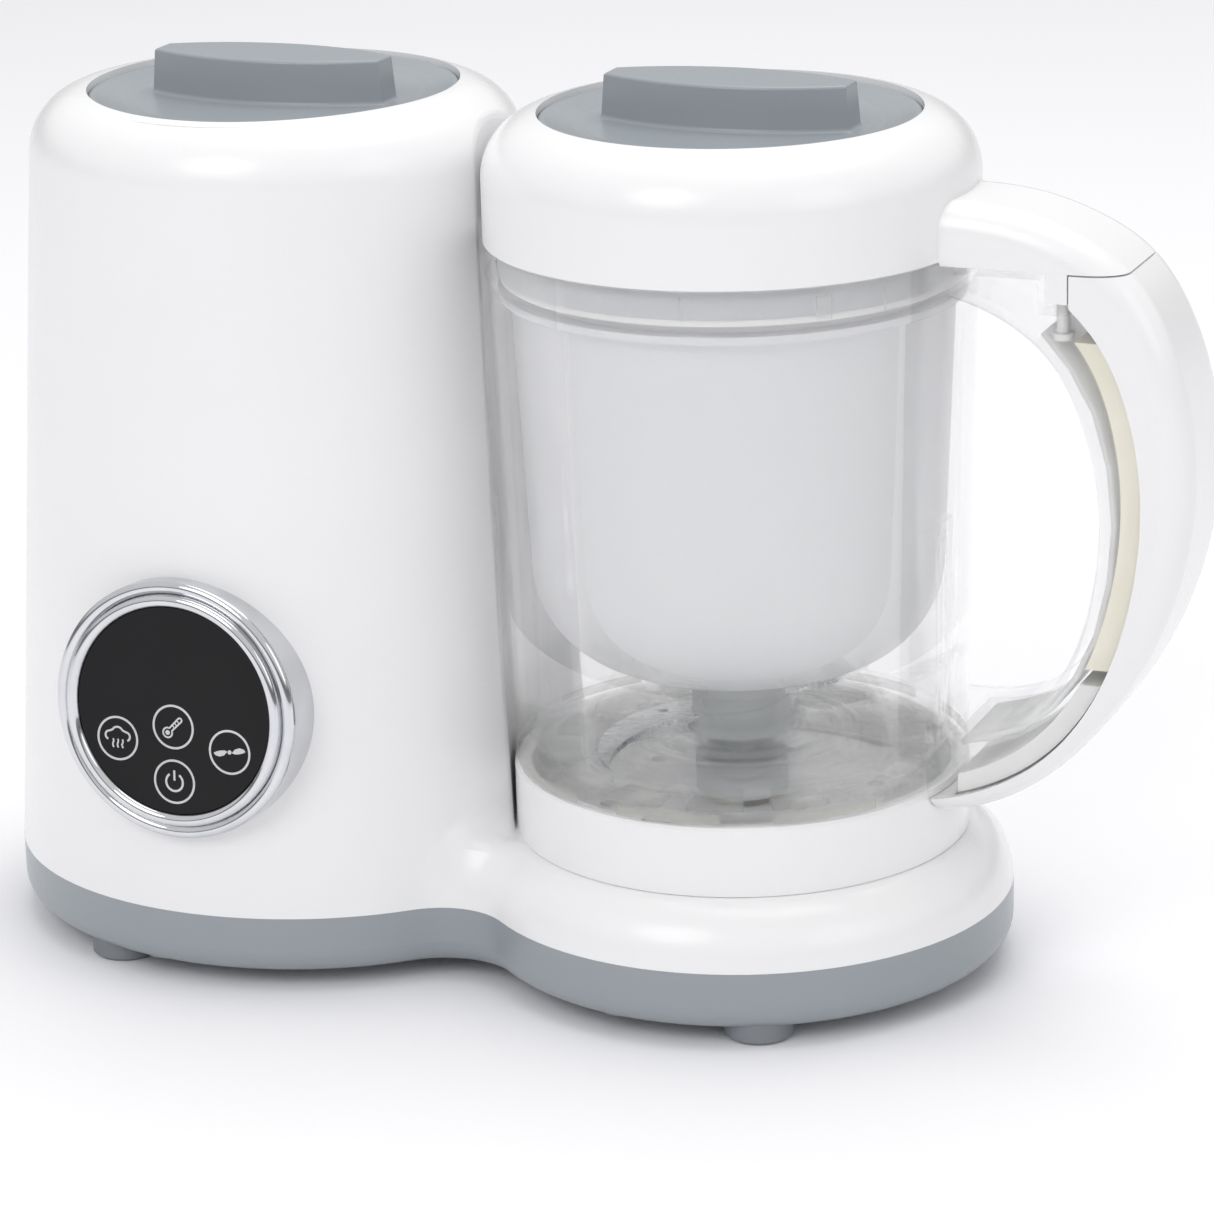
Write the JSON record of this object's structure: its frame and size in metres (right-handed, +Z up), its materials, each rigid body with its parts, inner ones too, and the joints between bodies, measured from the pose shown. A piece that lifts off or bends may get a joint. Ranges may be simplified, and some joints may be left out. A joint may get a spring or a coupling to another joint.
{
  "type": "baby food maker",
  "caption": "Countertop baby food steamer and blender: oval steaming tower with round touch panel, clear jar with loop handle, lid, basket and blades.",
  "frame": {"origin": "centre of the bounding box in plan, at the underside of the feet", "axes": "+Z up; +X from the steaming tower towards the jar handle; the control panel looks along -Y"},
  "size_m": [0.3168, 0.1492, 0.2235],
  "materials": {
    "white_plastic": "satin gloss white ABS",
    "grey_plastic": "satin mid grey ABS",
    "chrome": "bright chrome plating",
    "black_glass": "polished black touch glass",
    "clear_plastic": "clear copolyester",
    "frosted_plastic": "frosted translucent polypropylene",
    "grey_hub_plastic": "translucent grey acetal",
    "cream_plastic": "cream moulded link",
    "inner_white": "matt white moulding",
    "black_plastic": "matt black moulding",
    "blade_steel": "ground stainless steel",
    "steel": "plain steel",
    "motor_steel": "zinc plated can",
    "bronze": "sintered bronze",
    "aluminium": "cast aluminium",
    "circuit": "green circuit board",
    "rubber_dark": "dark grey rubber",
    "rubber_grey": "mid grey rubber",
    "silicone": "translucent white silicone"
  },
  "bodies": {
    "housing": {"upper_housing": "white_plastic", "base_pan": "grey_plastic", "feet": "rubber_grey", "base_screws": "steel", "cord_inlet": "black_plastic", "seat_collar": "white_plastic", "collar_screws": "steel", "bearing_lower": "bronze", "bearing_upper": "bronze", "motor_plate": "steel", "motor_screws": "steel", "motor_can": "motor_steel", "motor_magnets": "black_plastic", "drive_belt": "rubber_dark", "micro_switch": "black_plastic", "control_bezel": "chrome", "touch_glass": "black_glass", "display_board": "circuit", "power_board": "circuit", "power_parts": "black_plastic", "board_posts": "inner_white", "water_tank": "inner_white", "tank_gasket": "silicone", "boiler_plate": "aluminium", "heating_element": "steel", "thermostat": "steel", "water_sensor": "steel", "steam_tube": "silicone", "steam_nozzle": "silicone"},
    "rotor": {"motor_rotor": "steel", "motor_pulley": "aluminium"},
    "spindle": {"drive_spindle": "steel", "driven_pulley": "black_plastic", "drive_coupling": "black_plastic"},
    "switch_pin": {"switch_pin": "inner_white"},
    "jar": {"jar": "clear_plastic", "jar_foot": "clear_plastic", "handle_cover": "white_plastic", "blade_bush": "steel", "interlock_strip": "cream_plastic", "interlock_foot": "inner_white"},
    "plunger": {"interlock_pin": "inner_white"},
    "blades": {"blade_hub": "grey_hub_plastic", "blade_lower": "blade_steel", "blade_upper": "blade_steel", "blade_shaft": "steel", "jar_coupling": "grey_hub_plastic"},
    "basket": {"steam_basket": "frosted_plastic"},
    "lid": {"lid_shell": "white_plastic", "lid_inner": "inner_white", "lid_gasket": "silicone", "lid_port": "silicone"},
    "lid_seal": {"lid_cap_seal": "silicone"},
    "lid_cap": {"lid_cap": "grey_plastic"},
    "tank_seal": {"tank_cap_seal": "silicone"},
    "tank_cap": {"tank_cap": "grey_plastic"}
  },
  "joints": [
    {"name": "motor_spin", "type": "hinge", "parent": "housing", "child": "rotor", "pos_m": [-0.0824, 0, 0.05], "axis": [0, 0, 1], "continuous": true},
    {"name": "spindle_spin", "type": "hinge", "parent": "housing", "child": "spindle", "pos_m": [0.0394, 0, 0.03], "axis": [0, 0, 1], "continuous": true},
    {"name": "blade_spin", "type": "hinge", "parent": "jar", "child": "blades", "pos_m": [0.0394, 0, 0.065], "axis": [0, 0, 1], "continuous": true},
    {"name": "jar_lift", "type": "slide", "parent": "housing", "child": "jar", "axis": [0, 0, 1], "range_m": [0, 0.2]},
    {"name": "switch_travel", "type": "slide", "parent": "housing", "child": "switch_pin", "axis": [0, 0, 1], "range_m": [0, 0.002]},
    {"name": "lid_lift", "type": "slide", "parent": "jar", "child": "lid", "axis": [0, 0, 1], "range_m": [0, 0.25]},
    {"name": "basket_lift", "type": "slide", "parent": "jar", "child": "basket", "axis": [0, 0, 1], "range_m": [0, 0.12]},
    {"name": "interlock_travel", "type": "slide", "parent": "jar", "child": "plunger", "axis": [0, 0, 1], "range_m": [0, 0.003]},
    {"name": "lid_cap_lift", "type": "slide", "parent": "lid", "child": "lid_seal", "axis": [0, 0, 1], "range_m": [0, 0.05]},
    {"name": "lid_cap_turn", "type": "hinge", "parent": "lid_seal", "child": "lid_cap", "pos_m": [0.0394, 0, 0.205], "axis": [0, 0, 1], "range_deg": [-45, 0]},
    {"name": "tank_cap_lift", "type": "slide", "parent": "housing", "child": "tank_seal", "axis": [0, 0, 1], "range_m": [0, 0.05]},
    {"name": "tank_cap_turn", "type": "hinge", "parent": "tank_seal", "child": "tank_cap", "pos_m": [-0.0824, 0, 0.205], "axis": [0, 0, 1], "range_deg": [-45, 0]}
  ],
  "couplings": [
    {"joint": "spindle_spin", "follows": "motor_spin", "ratio": 0.33333},
    {"joint": "blade_spin", "follows": "motor_spin", "ratio": 0.33333},
    {"joint": "switch_travel", "follows": "jar_lift", "ratio": 0.01},
    {"joint": "basket_lift", "follows": "lid_lift", "ratio": 0.48},
    {"joint": "interlock_travel", "follows": "lid_lift", "ratio": 0.012}
  ]
}
